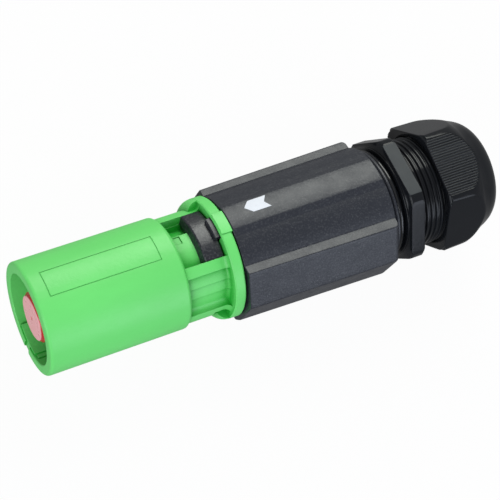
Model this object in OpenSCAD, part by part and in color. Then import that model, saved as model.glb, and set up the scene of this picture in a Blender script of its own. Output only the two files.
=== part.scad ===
// Single pole power connector, lying on its side, mating end towards -X.
// Lengths run along the connector's axis from the face of the mouth. Angles are clock angles about
// that axis: 0 is the arrow land of the handle, and they grow towards +Y over the top.

/* [Placement] */
// Tilt of the arrow land from upright: below zero it leans towards +Y
arrow_tilt = -18; // [-30:0.5:30]
// Height of the connector's axis above the surface it lies on
axis_height = 29.6; // [29:0.05:32]

/* [Shroud] */
// Outer diameter of the shroud
shroud_d = 50.6; // [48:0.1:52]
// Length of the shroud
shroud_len = 64; // [58:0.5:64]
// Diameter of the mouth
mouth_d = 40.6; // [40:0.1:42]
// Depth of the mouth
mouth_depth = 46; // [36:0.5:47]
// Radius of the outer front edge
rim_round = 1.4; // [0.5:0.1:2]
// Height of the two coupling lugs inside the mouth
lug_h = 1; // [0.4:0.1:1.5]

/* [Neck and flange] */
// Outer diameter of the neck
neck_d = 47.6; // [46:0.1:48]
// Diameter of the flange
flange_d = 55.2; // [54:0.1:55.4]
// Front face of the flange
flange_x = 84.3; // [82:0.1:86]
// Thickness of the flange
flange_t = 5.1; // [4:0.1:5.4]
// Radius of the rounded shoulder in front of the flange
shoulder_r = 5.3; // [4:0.1:5.3]
// Half of the window's angle
window_half = 32.5; // [28:0.5:34]
// Diameter of the window's curved floor
floor_d = 41; // [41:0.1:42]

/* [Latch] */
// Front edge of the latch
latch_x = 73.7; // [73:0.1:75]
// Travel of the latch towards the mouth
latch_travel = 6; // [3:0.5:7]
// Turns of the latch spring
spring_turns = 8; // [5:1:9]

/* [Contact] */
// Diameter of the contact pin
pin_d = 22.4; // [20:0.1:22.6]
// Diameter of the cable barrel
barrel_d = 25; // [24:0.1:25.2]
// Diameter of the cable bore
cable_bore_d = 16; // [12:0.5:17]

/* [Handle] */
// Front face of the handle
handle_x = 90.1; // [90:0.1:91]
// Rear end of the handle's grip
handle_end = 164.6; // [162:0.1:165]
// Radius of the recesses at the front of the handle
recess_r = 26.9; // [26.5:0.1:27.2]
// Growth of the recesses' radius over the handle's length
handle_draft = 0.8; // [0.4:0.1:1.2]
// Growth of the side lands over the handle's length
land_draft = 1.45; // [0.8:0.05:1.6]
// Height of the arrow land above the recesses
arrow_land_h = 1.1; // [0.6:0.1:1.5]
// Distance of the side facets from the axis at the front
facet_dist = 29.1; // [28.5:0.1:29.5]
// Upper edge of the side lands
side_land_top = 17.6; // [16:0.1:19]
// Lower edge of the side lands
side_land_low = 21.9; // [20:0.1:22]

/* [Gland] */
// Width across the flats of both hexagons
hex_af = 55; // [54:0.1:55.5]
// Rear face of the gland's collar
collar_end = 178.9; // [178:0.1:180]
// Front face of the dome nut
nut_x = 191; // [190:0.1:192]
// Rear end of the hexagon's flats
nut_hex_end = 208.3; // [207:0.1:209]
// Rear end of the dome nut
nut_end = 221.4; // [220:0.1:223]
// Diameter of the cable opening
cable_hole_d = 32; // [28:0.5:33]
// Ribs on a ribbed flat
rib_count = 24; // [9:1:24]

/* [Hidden] */
$fn = 96;

// Radii of the insulator's outside and of its bores
shroud_r = shroud_d / 2;
mouth_r = mouth_d / 2;
neck_r = neck_d / 2;
flange_r = flange_d / 2;
floor_r = floor_d / 2;
spigot_r = 22.2;
pin_r = pin_d / 2;
barrel_r = barrel_d / 2;
pin_seat_r = pin_r + 1;
bulkhead_r = pin_seat_r + 0.1;
contact_flange_r = 14;
washer_bore_r = contact_flange_r + 0.2;
rear_bore_r = 15.3;

// Stations along the axis
bulkhead_end = 58;
flange_rear = flange_x + flange_t;
spigot_end = 102;
window_x = shroud_len + 1.2;
contact_flange_end = bulkhead_end + 4;
circlip_x = contact_flange_end + 1.3;
circlip_t = 1.4;
barrel_end = 128;
clamp_screw_x = [100, 114];
handle_screw_x = 96.6;
handle_screw_angle = [153.5, 206.8];
boss_end = 167.5;
gasket_wire_r = 1.35;
collar_x = boss_end + 2 * gasket_wire_r;
hex_x = collar_x + 0.9;
stud_end = 207;
connector_len = nut_end;

// Latch: angles of the guide channel under the window's floor, and of the tail under the flange
channel_from = 11;
channel_to = 32;
channel_r = 17.7;
tongue_mid = -2;
tongue_half = 11.3;
tongue_x = 81.9;
tongue_r = 25.9;
tail_gap = 1.5;
latch_gap = 0.25;
latch_top_r = 23.8;
latch_rear = flange_x - 0.7;
foot_x = spigot_end + 0.4;
foot_t = 2.2;
spring_axis_r = 18.3;
spring_wire_d = 0.6;
spring_coil_r = 1.65;
spring_x = 86.2;

// Handle
handle_len = handle_end - handle_x;
handle_bore_r = 22.25;
cavity_r = 22.6;
gland_thread_r = 19.9;
facet_angle = 69.7;
land_end = handle_end - 0.8;
land_turn = 1.7;
land_shift = -0.2;

// Gland
hex_corner_r = hex_af / 2 / cos(30);
collar_corner_r = 30.8;
nut_corner_r = 31.2;
collar_turn = -7.3;
nut_turn = -17.8;
stud_r = 24;
crest_r = 25;
thread_pitch = 2.5;
thread_x = 178.75;
nut_bore_r = 25.05;
cable_hole_r = cable_hole_d / 2;
seal_bore_r = 14.2;
gland_bore_r = 16.6;
rib_pitch = 1.19;
rib_h = 0.34;

// Point of a cross-section at a radius and a clock angle
function clock(r, a) = [-r * cos(a), r * sin(a)];
// Points of an arc in a profile, as [radius, station]
function arc(cr, cx, r, a0, a1, n = 6) =
    [for (i = [0:n]) [cr + r * cos(a0 + (a1 - a0) * i / n), cx + r * sin(a0 + (a1 - a0) * i / n)]];

// Turns what stands along Z to the connector's axis
module along() {
    rotate([0, 90, 0]) children();
}

// Solid of revolution from a profile of [radius, station]
module revolve(profile) {
    along() rotate_extrude() polygon(profile);
}

module rod(x0, x1, r) {
    along() translate([0, 0, x0]) cylinder(h = x1 - x0, r = r);
}

module ring(x0, x1, ro, ri) {
    revolve([[ri, x0], [ro, x0], [ro, x1], [ri, x1]]);
}

// Round ring lying about the axis, such as an O-ring
module torus(x, major, minor) {
    along() translate([0, 0, x]) rotate_extrude() translate([major, 0]) circle(r = minor, $fn = 24);
}

// Wedge between two clock angles
module wedge(a0, a1, x0, x1, reach = 40) {
    n = max(1, ceil(abs(a1 - a0) / 30));
    along() translate([0, 0, x0]) linear_extrude(x1 - x0)
        polygon(concat([[0, 0]], [for (i = [0:n]) clock(reach, a0 + (a1 - a0) * i / n)]));
}

// Sector of a ring
module ring_sector(a0, a1, x0, x1, ro, ri) {
    intersection() {
        ring(x0, x1, ro, ri);
        wedge(a0, a1, x0 - 1, x1 + 1);
    }
}

// What points up is turned to a clock angle
module at_clock(a) {
    rotate([-a, 0, 0]) children();
}

// Hexagonal prism with its corners turned off to a cylinder
module hexagon(x0, x1, corner_r, turn) {
    intersection() {
        at_clock(turn) rotate([90, 0, 0]) along() translate([0, 0, x0])
            cylinder(h = x1 - x0, r = hex_corner_r, $fn = 6);
        rod(x0 - 1, x1 + 1, corner_r);
    }
}

// Places everything in the connector's resting frame
module placed() {
    translate([-connector_len / 2, 0, axis_height]) rotate([arrow_tilt, 0, 0]) children();
}

module insulator_outside() {
    neck_round = 1.5;
    flare_r = 2.6;
    revolve(concat(
        [[0, 0], [mouth_r, 0]],
        arc(shroud_r - rim_round, rim_round, rim_round, -90, 0),
        arc(shroud_r - neck_round, shroud_len - 0.8, neck_round, 0, 90),
        [[neck_r, shroud_len + 0.7]],
        arc(neck_r + flare_r, flange_x - flare_r, flare_r, 180, 90),
        [[flange_r - 0.5, flange_x], [flange_r, flange_x + 0.5]],
        [[flange_r, flange_rear - 0.6], [flange_r - 0.6, flange_rear]],
        [[spigot_r, flange_rear], [spigot_r, spigot_end - 1], [spigot_r - 1, spigot_end], [0, spigot_end]]
    ));
    // alignment pad on the flange
    at_clock(tongue_mid)
        ring_sector(-tongue_half, tongue_half, flange_x + 0.4, flange_rear + 0.4, flange_r + 0.35,
                    spigot_r - 1);
    // rounded shoulder in front of the flange, all round the side away from the window
    intersection() {
        revolve(concat([[rear_bore_r + 1, flange_x - 6]],
            arc(flange_r - 5.4, flange_x + 0.3, shoulder_r, -90, 0, 8),
            [[flange_r - 0.1, flange_x + 1], [rear_bore_r + 1, flange_x + 1]]));
        wedge(38, 247, flange_x - 7, flange_x + 2);
    }
}

module insulator_bores() {
    rod(-1, mouth_depth, mouth_r);
    rod(mouth_depth - 1, bulkhead_end + 1, bulkhead_r);
    rod(bulkhead_end, shroud_len + 3, washer_bore_r);
    rod(circlip_x, circlip_x + circlip_t + 0.2, rear_bore_r - 0.2);
    rod(shroud_len + 2, spigot_end + 1, rear_bore_r);
    // small chamfer on the mouth's edge
    revolve([[0, -1], [mouth_r + 1.4, -1], [mouth_r, 0.4], [0, 0.4]]);
}

// Window that shows the latch, with its floor and the guide channel beside it
module window_cut() {
    ring_sector(-window_half, window_half, window_x, flange_x, 40, floor_r);
    ring_sector(channel_from, channel_to, window_x, flange_x, floor_r + 1, channel_r);
    // shallow square recess in the floor
    at_clock(4) translate([window_x + 1.6, -2, floor_r - 0.45]) cube([3, 4, 2]);
}

// Pocket of the latch's tongue in the flange, the passage of its tail, and the spring's bore
module tail_cut() at_clock(tongue_mid) {
    from = tongue_half + tail_gap;
    ring_sector(-from, from, flange_x - 0.5, flange_rear - 1.5, tongue_r + 0.35, floor_r + 0.1);
    ring_sector(-from, from, flange_rear - 1.6, spigot_end + 1, spigot_r + 0.2, floor_r + 0.1);
    ring_sector(-from + 3, from - 3, foot_x - latch_travel - 0.6, spigot_end + 1, spigot_r + 2,
                rear_bore_r + 0.7);
    translate([spring_x, 0, spring_axis_r]) along() cylinder(h = 30, r = 2.2, $fn = 32);
}

// One step of the pocket, with a rounded corner at the flange
module pocket_step(a0, a1, r) {
    rear = flange_x - 0.1;
    intersection() {
        revolve(concat([[r, window_x], [40, window_x], [40, rear]], arc(r + 1.5, rear - 1.5, 1.5, 90, 180)));
        wedge(a0, a1, window_x - 1, rear + 1, 50);
    }
}

// Terraced pocket beside the rib; its lowest step ends in a round channel
module terraced_pocket() {
    channel_at = -86.3;
    channel_round = 3;
    pocket_step(-58, -44.5, 22.4);
    pocket_step(-72, -57.9, 21.7);
    pocket_step(channel_at, -71.9, 21);
    intersection() {
        pocket_step(-110, channel_at + 1, 21);
        at_clock(channel_at) {
            translate([0, 0, 21 + channel_round]) rod(window_x - 1, flange_x + 1, channel_round);
            translate([window_x - 1, -channel_round, 21 + channel_round])
                cube([flange_x - window_x + 2, 2 * channel_round, 20]);
        }
    }
}

module front_insulator() color("#62DE62") placed() {
    difference() {
        insulator_outside();
        insulator_bores();
        window_cut();
        tail_cut();
        terraced_pocket();
        // recess in front of the flange, between the pocket and the shoulder
        ring_sector(-113, -104, 77.5, flange_x - 0.1, 40, 21);
        // coring pocket on the far side
        ring_sector(155, 205, window_x, flange_x - 7, 40, 21.2);
        // alignment notch across the rim, opposite the arrow
        ring_sector(174, 185, -1, 0.9, 40, mouth_r - 1);
        // bare engraved border
        difference() {
            ring_sector(-16.8, 11.9, 6.3, 56.8, 40, shroud_r - 0.15);
            ring_sector(-15.9, 11, 6.7, 56.4, 41, shroud_r - 1);
        }
        for (a = handle_screw_angle)
            at_clock(a) translate([handle_screw_x, 0, rear_bore_r + 1.5]) cylinder(h = 20, r = 2, $fn = 32);
    }
    // coupling lugs inside the mouth
    for (a = [0, 180])
        ring_sector(a - 27, a + 20, 1, 9, mouth_r + 0.5, mouth_r - lug_h);
    ring_sector(199.9, 208, 1.5, 9, mouth_r + 0.5, mouth_r - lug_h / 2);
}

module mating_seal() color("#20262A") placed() {
    revolve([[13, mouth_depth], [13, mouth_depth - 1.6], [13.8, mouth_depth - 1.9], [15, mouth_depth - 1.2],
             [16.2, mouth_depth - 1.9], [17, mouth_depth - 1.6], [17, mouth_depth]]);
}

module contact_pin() color("#C9CCD2") placed() {
    groove_x = 51;
    groove_w = 2.3;
    difference() {
        revolve([[0, 7], [pin_r, 7], [pin_r, 44], [pin_seat_r, 44], [pin_seat_r, groove_x],
                 [pin_r - 1, groove_x], [pin_r - 1, groove_x + groove_w], [pin_seat_r, groove_x + groove_w],
                 [pin_seat_r, bulkhead_end], [contact_flange_r, bulkhead_end],
                 [contact_flange_r, contact_flange_end], [barrel_r, contact_flange_end],
                 [barrel_r, barrel_end - 1], [barrel_r - 1, barrel_end], [0, barrel_end]]);
        rod(6, 20.5, 5);
        rod(86, barrel_end + 1, cable_bore_d / 2);
        for (x = clamp_screw_x)
            translate([x, 0, 0]) cylinder(h = 20, r = 5);
    }
}

module contact_cap() color("#C8323A") placed() {
    difference() {
        revolve([[0, 1.7], [9.7, 1.7], [9.95, 1.85], [10.9, 3.1], [pin_r, 3.4], [pin_r, 7],
                 [5, 7], [5, 19.4], [4.4, 20], [0, 20]]);
        rod(1, 2.2, 0.9);
    }
}

module contact_seal() color("#20262A") placed() {
    torus(52.15, pin_r + 0.05, 1.03);
}

module contact_washer() color("#B9BDC4") placed() {
    ring(contact_flange_end, circlip_x, washer_bore_r - 0.1, barrel_r + 0.15);
}

module contact_circlip() color("#9EA3AB") placed() {
    difference() {
        union() {
            ring(circlip_x, circlip_x + circlip_t, rear_bore_r - 0.25, rear_bore_r - 1.9);
            for (a = [74, 106])
                ring_sector(a - 5, a + 5, circlip_x, circlip_x + circlip_t, rear_bore_r - 1, barrel_r + 0.2);
        }
        wedge(80, 100, circlip_x - 1, circlip_x + circlip_t + 1);
    }
}

module locking_latch() color("#2B2C30") placed() {
    // thumb piece with a sloped front
    intersection() {
        revolve([[floor_r + 0.1, latch_x], [latch_top_r - 0.4, latch_x + 1.2], [latch_top_r, latch_x + 1.8],
                 [latch_top_r, latch_rear - 0.3], [latch_top_r - 0.3, latch_rear], [floor_r + 0.1, latch_rear]]);
        wedge(-window_half + 0.8, window_half - 0.8, latch_x - 1, latch_rear + 1);
    }
    // leg in the guide channel
    ring_sector(channel_from + 1.5, channel_to - 1.5, latch_x + 0.2, latch_rear, floor_r + 0.5,
                channel_r + latch_gap);
    // tongue in the flange's pocket, and the tail that passes under the flange
    at_clock(tongue_mid) {
        intersection() {
            revolve([[floor_r + 0.35, tongue_x], [tongue_r - 0.4, tongue_x], [tongue_r, tongue_x + 0.4],
                     [tongue_r, flange_rear - 2], [floor_r + 0.35, flange_rear - 2]]);
            wedge(-tongue_half, tongue_half, tongue_x - 1, flange_rear);
        }
        ring_sector(-tongue_half, tongue_half, flange_rear - 2.5, foot_x + foot_t, spigot_r - 0.25,
                    floor_r + 0.35);
        ring_sector(-tongue_half + 3, tongue_half - 3, foot_x, foot_x + foot_t, spigot_r - 0.25,
                    rear_bore_r + 0.95);
    }
}

// Centre line and surface points of the latch spring's wire
spring_sides = 8;
spring_steps = 14;
spring_count = spring_turns * spring_steps;
spring_len = foot_x - spring_x - spring_wire_d - 0.2;
function spring_centre(i) =
    let (a = 360 * i / spring_steps)
    [spring_x + 0.1 + spring_wire_d / 2 + spring_len * i / spring_count, spring_coil_r * sin(a),
     spring_axis_r + spring_coil_r * cos(a)];
function spring_surface(i, j) =
    let (a = 360 * i / spring_steps, b = 360 * j / spring_sides, r = spring_wire_d / 2)
    spring_centre(i) + [r * sin(b), r * cos(b) * sin(a), r * cos(b) * cos(a)];

// Helix of round wire
module latch_spring() color("#A9ADB4") placed() at_clock(tongue_mid) {
    points = [for (i = [0:spring_count], j = [0:spring_sides - 1]) spring_surface(i, j)];
    walls = [for (i = [0:spring_count - 1], j = [0:spring_sides - 1])
        let (k = (j + 1) % spring_sides, a = i * spring_sides, b = a + spring_sides)
        [a + j, a + k, b + k, b + j]];
    first = [for (j = [0:spring_sides - 1]) spring_sides - 1 - j];
    last = [for (j = [0:spring_sides - 1]) spring_count * spring_sides + j];
    polyhedron(points, concat(walls, [first], [last]));
}

module inner_sleeve() color("#3A3D42") placed() {
    groove_x = 70;
    groove_w = 2.1;
    bore = barrel_r + 0.2;
    revolve([[bore, shroud_len + 3.2], [rear_bore_r - 0.2, shroud_len + 3.2], [rear_bore_r - 0.2, groove_x],
             [rear_bore_r - 1.9, groove_x], [rear_bore_r - 1.9, groove_x + groove_w],
             [rear_bore_r - 0.2, groove_x + groove_w], [rear_bore_r - 0.2, 128.5], [cavity_r - 0.2, 128.5],
             [cavity_r - 0.2, 131], [bore, 131]]);
}

module sleeve_seal() color("#20262A") placed() {
    torus(71.05, rear_bore_r - 0.95, 0.93);
}

// Set screw with a hexagon socket, seated in the barrel's wall
module clamp_screw(x) {
    difference() {
        translate([x, 0, cable_bore_d / 2 + 0.1]) cylinder(h = barrel_r - cable_bore_d / 2 - 1.1, r = 5);
        translate([x, 0, barrel_r - 2.6]) cylinder(h = 5, r = 2.9, $fn = 6);
    }
}

module clamp_screw_1() color("#8D9198") placed() {
    clamp_screw(clamp_screw_x[0]);
}

module clamp_screw_2() color("#8D9198") placed() {
    clamp_screw(clamp_screw_x[1]);
}

// Countersunk screw with a cross recess, standing upright before it is turned to its place
module countersunk_screw() {
    head_r = 3.4;
    head_top = recess_r - 0.1;
    difference() {
        rotate_extrude() polygon([[0, rear_bore_r + 2], [1.2, rear_bore_r + 2], [1.95, rear_bore_r + 3],
                                  [1.95, head_top - 2.2], [head_r, head_top - 0.35], [head_r, head_top],
                                  [0, head_top]]);
        for (turn = [0, 90])
            rotate([0, 0, turn]) translate([-2.2, -0.4, head_top - 1.2]) cube([4.4, 0.8, 2]);
    }
}

module handle_screw_1() color("#A9ADB4") placed() {
    at_clock(handle_screw_angle[0]) translate([handle_screw_x, 0, 0]) countersunk_screw();
}

module handle_screw_2() color("#A9ADB4") placed() {
    at_clock(handle_screw_angle[1]) translate([handle_screw_x, 0, 0]) countersunk_screw();
}

// Block bounded by one sloping facet of the side lands, rounded at its rear end
module facet_block(a, dist) {
    rear_round = 2;
    top = dist + land_draft * (land_end - handle_x) / handle_len;
    at_clock(a) rotate([90, 0, 0]) linear_extrude(120, center = true)
        polygon(concat([[handle_x, -60], [land_end, -60]],
            arc(land_end - rear_round, top - rear_round, rear_round, 0, 90),
            [[handle_x + 0.3, dist], [handle_x, dist - 0.3]]));
}

// Side lands: two long facets that meet in a ridge, and a narrow one below them
module side_lands() at_clock(land_turn) translate([0, land_shift, 0]) {
    intersection() {
        translate([handle_x, -40, -side_land_low]) cube([handle_len, 80, side_land_low + side_land_top]);
        facet_block(facet_angle, facet_dist);
        facet_block(-facet_angle, facet_dist);
        facet_block(180 - facet_angle, facet_dist - 0.15);
        facet_block(facet_angle - 180, facet_dist - 0.15);
        facet_block(129, facet_dist + 0.8);
        facet_block(-129, facet_dist + 0.8);
    }
}

// Arrow land: a low band with sloping flanks
module arrow_land() {
    r0 = recess_r + arrow_land_h;
    r1 = r0 + handle_draft;
    half = 5.95;
    spread = 2.9;
    intersection() {
        revolve([[0, handle_x], [r0, handle_x], [r1, handle_end - 1], [r1 - 1, handle_end - 0.3],
                 [0, handle_end - 0.3]]);
        along() translate([0, 0, handle_x]) linear_extrude(handle_len)
            polygon([[-40, -half], [-r0 + 0.5, -half], [-recess_r + 1, -half - spread],
                     [-recess_r + 1, half + spread], [-r0 + 0.5, half], [-40, half]]);
    }
}

module handle() color("#404247") placed() {
    rear_r = recess_r + handle_draft;
    difference() {
        union() {
            revolve([[0, handle_x], [recess_r - 0.3, handle_x], [recess_r, handle_x + 0.3],
                     [rear_r, handle_end - 0.8], [rear_r - 0.8, handle_end], [24.6, handle_end],
                     [24.6, handle_end + 1.1], [25.3, handle_end + 1.3], [25.6, handle_end + 1.8],
                     [25.6, boss_end - 0.3], [25.3, boss_end], [0, boss_end]]);
            side_lands();
            arrow_land();
            at_clock(180) arrow_land();
        }
        rod(handle_x - 1, 104, handle_bore_r);
        revolve([[0, 103], [cavity_r, 103], [cavity_r, 146], [gland_thread_r + 0.05, 149.5],
                 [gland_thread_r + 0.05, 170], [0, 170]]);
        for (a = handle_screw_angle)
            at_clock(a) translate([handle_screw_x, 0, 0]) {
                cylinder(h = 40, r = 2.1, $fn = 32);
                rotate_extrude() polygon([[0, recess_r - 2.4], [2.1, recess_r - 2.4], [3.55, recess_r - 0.5],
                                          [3.55, recess_r + 3], [0, recess_r + 3]]);
            }
    }
}

module gland_gasket() color("#15181B") placed() {
    torus(boss_end + gasket_wire_r, 23.65, gasket_wire_r);
}

// Round ridges of the nut thread that show between collar and nut
module nut_thread_ridges() {
    ridges = 6;
    revolve(concat([[gland_bore_r, collar_end - 1], [stud_r, collar_end - 1]],
        [for (i = [0:ridges - 1], s = [[0.05, 0], [0.2, 0.7], [0.36, 1], [0.64, 1], [0.8, 0.7], [0.95, 0]])
            [stud_r + (crest_r - stud_r) * s[1], thread_x + thread_pitch * (i + s[0])]],
        [[stud_r, nut_x + 9], [gland_bore_r, nut_x + 9]]));
}

module gland_body() color("#2A2D31") placed() {
    difference() {
        union() {
            revolve([[gland_bore_r, 153], [gland_thread_r - 0.8, 153], [gland_thread_r, 153.8],
                     [gland_thread_r, collar_x], [25.3, collar_x], [25.6, collar_x + 0.3], [25.6, hex_x + 0.5],
                     [gland_bore_r, hex_x + 0.5]]);
            hexagon(hex_x, collar_end, collar_corner_r, collar_turn);
            nut_thread_ridges();
            ring(nut_x + 8.9, stud_end, stud_r - 0.5, gland_bore_r);
        }
        rod(152, stud_end + 1, gland_bore_r);
        // seat of the rubber seal
        rod(nut_x, stud_end + 1, 20.5);
        // slots between the clamping fingers
        for (i = [0:11])
            at_clock(15 + 30 * i) translate([200, -1, 19]) cube([10, 2, 8]);
    }
}

module gland_seal() color("#1B1E21") placed() {
    revolve([[seal_bore_r, nut_x], [20.45, nut_x], [20.45, 205.5], [19, 207], [seal_bore_r + 1, 207],
             [seal_bore_r, 206]]);
}

// Teeth across one flat of the dome nut, as points from one corner to the next
function ribbed_flat(mid) =
    let (d = hex_af / 2, w = rib_count * rib_pitch / 2)
    [for (i = [0:rib_count - 1], s = [[0, -1], [0.35, 0], [0.65, 0]])
        let (t = -w + rib_pitch * (i + s[0]), h = d + rib_h * s[1])
        [-h * cos(mid) - t * sin(mid), h * sin(mid) - t * cos(mid)]];

module dome_nut() color("#2E3135") placed() {
    flat_mid = [for (k = [0:5]) nut_turn + 60 * k];
    difference() {
        intersection() {
            along() translate([0, 0, nut_x]) linear_extrude(nut_end - nut_x)
                polygon([for (k = [5:-1:0]) each concat([clock(hex_corner_r, flat_mid[k] + 30)],
                    k % 2 == 0 ? ribbed_flat(flat_mid[k]) : [])]);
            revolve(concat([[0, nut_x], [nut_corner_r - 1.1, nut_x], [nut_corner_r, nut_x + 0.9]],
                           [[nut_corner_r - 0.3, nut_hex_end - 2.8]],
                           [[29.4, nut_hex_end + 0.3], [27.7, nut_hex_end + 2.2], [26.2, nut_hex_end + 4.3],
                            [24.9, nut_hex_end + 6.7], [23.6, nut_hex_end + 9], [21.9, nut_hex_end + 11.1]],
                           [[20.1, nut_end - 0.5], [18.9, nut_end], [0, nut_end]]));
        }
        revolve([[0, nut_x - 1], [nut_bore_r, nut_x - 1], [nut_bore_r, nut_x + 10], [stud_r - 0.4, nut_x + 10.6],
                 [stud_r - 0.4, 207.2], [21, 208.6], [16.8, 214.6], [cable_hole_r, 216.8],
                 [cable_hole_r, nut_end - 0.6], [cable_hole_r + 0.8, nut_end + 0.2], [0, nut_end + 0.2]]);
    }
}

front_insulator();
mating_seal();
contact_pin();
contact_cap();
contact_seal();
contact_washer();
contact_circlip();
locking_latch();
latch_spring();
inner_sleeve();
sleeve_seal();
clamp_screw_1();
clamp_screw_2();
handle();
handle_screw_1();
handle_screw_2();
gland_gasket();
gland_body();
gland_seal();
dome_nut();
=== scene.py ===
"""Finishes, finely detailed pieces, camera and light of a single pole power connector.

The connector lies along X with its mouth towards -X. Stations are millimetres along its axis from the
face of the mouth, and clock angles are degrees about that axis, 0 at the handle's arrow land and
growing towards +Y over the top.
"""

import logging
import math
from abc import ABC, abstractmethod
from dataclasses import dataclass
from enum import Enum
from typing import Sequence

import bpy
import numpy as np
from bpy.types import ID, Material, Node, NodeSocket, NodeTree, Object
from mathutils import Matrix

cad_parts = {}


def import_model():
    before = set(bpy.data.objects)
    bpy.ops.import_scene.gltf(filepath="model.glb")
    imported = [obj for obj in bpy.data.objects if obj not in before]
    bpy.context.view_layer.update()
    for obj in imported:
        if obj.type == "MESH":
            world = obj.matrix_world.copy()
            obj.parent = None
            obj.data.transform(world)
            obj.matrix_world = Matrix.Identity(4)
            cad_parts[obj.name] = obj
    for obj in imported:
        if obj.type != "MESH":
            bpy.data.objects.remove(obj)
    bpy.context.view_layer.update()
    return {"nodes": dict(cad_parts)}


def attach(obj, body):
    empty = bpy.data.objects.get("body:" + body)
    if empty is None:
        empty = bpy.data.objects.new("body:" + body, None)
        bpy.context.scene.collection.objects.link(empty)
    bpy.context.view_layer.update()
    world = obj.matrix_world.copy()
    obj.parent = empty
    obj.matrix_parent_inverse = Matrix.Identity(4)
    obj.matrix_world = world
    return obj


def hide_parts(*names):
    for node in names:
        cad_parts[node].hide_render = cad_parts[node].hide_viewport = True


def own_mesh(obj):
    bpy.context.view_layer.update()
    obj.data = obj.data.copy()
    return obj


log = logging.getLogger("connector")

Triple = tuple[float, float, float]
Profile = Sequence[tuple[float, float]]
Field = np.ndarray | float
Value = NodeSocket | Sequence[float] | float

MM = 0.001
BODY = "connector"
WHITE = (1.0, 1.0, 1.0, 1.0)


@dataclass(frozen=True)
class AxisFrame:
    """Where the connector's axis lies in the row frame.

    Attributes:
        half_length: half of the overall length, in mm.
        height: height of the axis above the floor, in mm.
        tilt: turn of clock angle 0 from upright towards -Y, in degrees.
    """

    half_length: float = 110.7
    height: float = 29.6
    tilt: float = -18.0

    def place(self, station: Field, radius: Field, angle: Field) -> np.ndarray:
        """Turns cylindrical coordinates about the connector's axis to metres in the row frame.

        A point is (station - half_length, radius * sin(turn), height + radius * cos(turn)), where turn is
        angle - tilt.

        Args:
            station: distance along the axis from the mouth, in mm.
            radius: distance from the axis, in mm.
            angle: clock angle in degrees.

        Returns:
            An array with a last axis of three coordinates.
        """
        turn = np.radians(angle - self.tilt)
        x = station - self.half_length
        y = radius * np.sin(turn)
        z = self.height + radius * np.cos(turn)
        return np.stack(np.broadcast_arrays(x, y, z), axis=-1) * MM


AXIS = AxisFrame()


class Slot(Enum):
    """Material slots of the record; no piece in this script takes its finish from them."""

    HANDLE = "black_plastic"
    GLAND = "gland_plastic"
    STEEL = "steel"


def soft_min(first: Field, second: Field, blend: float) -> np.ndarray:
    """Takes the smaller of two fields, rounded where they meet.

    The value is (a + b - sqrt((a - b)^2 + blend^2)) / 2.

    Args:
        first: one field.
        second: the other field.
        blend: size of the rounding, in the fields' unit.

    Returns:
        The rounded minimum.
    """
    return (first + second - np.sqrt((first - second) ** 2 + blend ** 2)) / 2.0


def soft_max(first: Field, second: Field, blend: float) -> np.ndarray:
    """Takes the larger of two fields, rounded where they meet, as soft_min does for the smaller."""
    return -soft_min(-first, -second, blend)


def ramp(value: np.ndarray, start: float, end: float) -> np.ndarray:
    """Rises from 0 at start to 1 at end along 3t^2 - 2t^3."""
    share = np.clip((value - start) / (end - start), 0.0, 1.0)
    return share * share * (3.0 - 2.0 * share)


def edge_round(station: np.ndarray, edge: float, size: float) -> np.ndarray:
    """Gives how far a quarter round takes a surface back near an end.

    With t the distance from the end over size, the value is size * (1 - sqrt(1 - (1 - t)^2)) for t below 1.

    Args:
        station: distances along the axis, in mm.
        edge: station of the end.
        size: radius of the quarter round, in mm.

    Returns:
        The loss of radius, in mm.
    """
    share = 1.0 - np.clip(np.abs(station - edge) / size, 0.0, 1.0)
    return size * (1.0 - np.sqrt(np.clip(1.0 - share ** 2, 0.0, 1.0)))


def quarter(step: int, start: int = 0) -> np.ndarray:
    """Gives angles from start to 90 degrees, step degrees apart, in radians."""
    return np.radians(np.arange(start, 91, step))


def wrapped(angle: np.ndarray, period: float) -> np.ndarray:
    """Brings angles to within half a period of 0."""
    return np.mod(angle + period / 2.0, period) - period / 2.0


def plane(distance: Field, off: np.ndarray) -> np.ndarray:
    """Gives the radius that a plane allows: distance / cos(off), with the cosine held above 0.25.

    Args:
        distance: distance of the plane from the axis, in mm.
        off: angle from the plane's normal, in radians.

    Returns:
        The radius, in mm.
    """
    return distance / np.clip(np.cos(off), 0.25, 1.0)


def hexagon(angle: np.ndarray, flat: float, turn: float, blend: float) -> np.ndarray:
    """Gives a hexagon's radius at clock angles: the soft minimum of the two nearest flats.

    Args:
        angle: clock angles in degrees.
        flat: distance of the flats from the axis, in mm.
        turn: clock angle of one flat's middle.
        blend: size of the corners' rounding, in mm.

    Returns:
        The radius at each angle.
    """
    off = wrapped(angle - turn, 60.0)
    return soft_min(plane(flat, np.radians(off)), plane(flat, np.radians(60.0 - np.abs(off))), blend)


def crowded(start: float, end: float, coarse: float, edges: Sequence[float], fine: float,
            reach: float) -> np.ndarray:
    """Spreads values over a range, closer together near given places.

    The density is 1 / coarse, plus (1 / fine - 1 / coarse) * exp(-(distance / reach)^2) near each place,
    and the values are read off its running sum at equal steps.

    Args:
        start: first value.
        end: last value.
        coarse: step far from the places.
        edges: the places.
        fine: step at a place.
        reach: width of the crowding.

    Returns:
        The values in growing order, both ends included.
    """
    samples = 40001
    scan = np.linspace(start, end, samples)
    near = np.exp(-((scan[:, None] - np.asarray(edges, float)[None, :]) / reach) ** 2).max(axis=1)
    density = 1.0 / coarse + (1.0 / fine - 1.0 / coarse) * near
    total = np.concatenate([[0.0], np.cumsum((density[1:] + density[:-1]) / 2.0)]) * (scan[1] - scan[0])
    return np.interp(np.linspace(0.0, total[-1], int(total[-1]) + 2), total, scan)


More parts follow.
